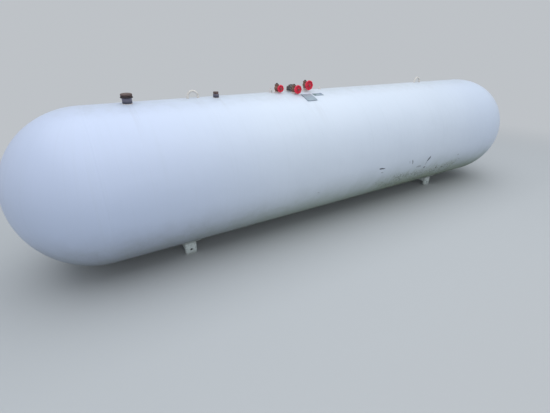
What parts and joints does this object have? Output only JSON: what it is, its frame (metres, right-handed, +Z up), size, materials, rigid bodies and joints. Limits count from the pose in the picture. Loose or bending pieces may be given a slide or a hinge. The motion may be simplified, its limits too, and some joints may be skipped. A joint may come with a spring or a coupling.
{
  "type": "horizontal pressure tank",
  "caption": "Horizontal welded pressure tank with round heads on four short legs, with lifting lugs, a capped riser, plugged ports, a gauge and valves with turning handwheels on its crown.",
  "frame": {"origin": "on the ground, under the middle of the tank", "axes": "+X along the tank to the right seen from the side with the valves' handwheels, -Y towards that side, +Z up"},
  "size_m": [4.8764, 1.0454, 1.1895],
  "materials": {
    "tank_paint": "weathered white paint",
    "leg_paint": "dirty white paint",
    "lug_paint": "worn cream white paint",
    "fitting_paint": "worn white paint",
    "grey_pipe": "weathered grey steel pipe",
    "cast_iron": "dull rusty iron",
    "brass": "tarnished brass",
    "red_paint": "red enamel",
    "gauge_case": "dark enamel",
    "gauge_dial": "matt grey",
    "gauge_glass": "dusty window glass",
    "plate_metal": "dull, weathered"
  },
  "bodies": {
    "tank": {"shell": "tank_paint", "left_head": "tank_paint", "right_head": "tank_paint", "left_head_weld": "tank_paint", "right_head_weld": "tank_paint", "long_seam_weld": "tank_paint", "front_left_leg": "leg_paint", "front_right_leg": "leg_paint", "rear_left_leg": "leg_paint", "rear_right_leg": "leg_paint", "front_left_pad": "leg_paint", "front_right_pad": "leg_paint", "rear_left_pad": "leg_paint", "rear_right_pad": "leg_paint", "left_lifting_lug": "lug_paint", "right_lifting_lug": "lug_paint", "riser_pipe": "grey_pipe", "riser_cap": "cast_iron", "iron_port_coupling": "grey_pipe", "iron_port_plug": "cast_iron", "white_port_couplings": "fitting_paint", "white_port_plugs": "fitting_paint", "left_valve_coupling": "fitting_paint", "middle_valve_coupling": "fitting_paint", "right_valve_coupling": "fitting_paint", "left_valve_body": "brass", "middle_valve_body": "brass", "right_valve_body": "brass", "left_valve_bonnet": "brass", "middle_valve_bonnet": "brass", "right_valve_bonnet": "brass", "left_outlet_plug": "cast_iron", "middle_outlet_plug": "cast_iron", "right_outlet_plug": "cast_iron", "gauge_coupling": "fitting_paint", "gauge_elbow": "cast_iron", "gauge_case": "gauge_case", "gauge_dial": "gauge_dial", "gauge_glass": "gauge_glass", "data_plate_bracket": "plate_metal", "data_plate": "plate_metal", "small_plate": "plate_metal"},
    "left_wheel": {"left_handwheel": "red_paint"},
    "middle_wheel": {"middle_handwheel": "red_paint"},
    "right_wheel": {"right_handwheel": "red_paint"}
  },
  "joints": [
    {"name": "left_handwheel_turn", "type": "hinge", "parent": "tank", "child": "left_wheel", "pos_m": [-0.512, -0.064, 1.1368], "axis": [0, -1, 0], "range_deg": [0, 990]},
    {"name": "middle_handwheel_turn", "type": "hinge", "parent": "tank", "child": "middle_wheel", "pos_m": [-0.392, -0.13, 1.12932], "axis": [0, -1, 0], "range_deg": [0, 990]},
    {"name": "right_handwheel_turn", "type": "hinge", "parent": "tank", "child": "right_wheel", "pos_m": [-0.252, -0.085, 1.15098], "axis": [0, -1, 0], "range_deg": [0, 990]}
  ]
}
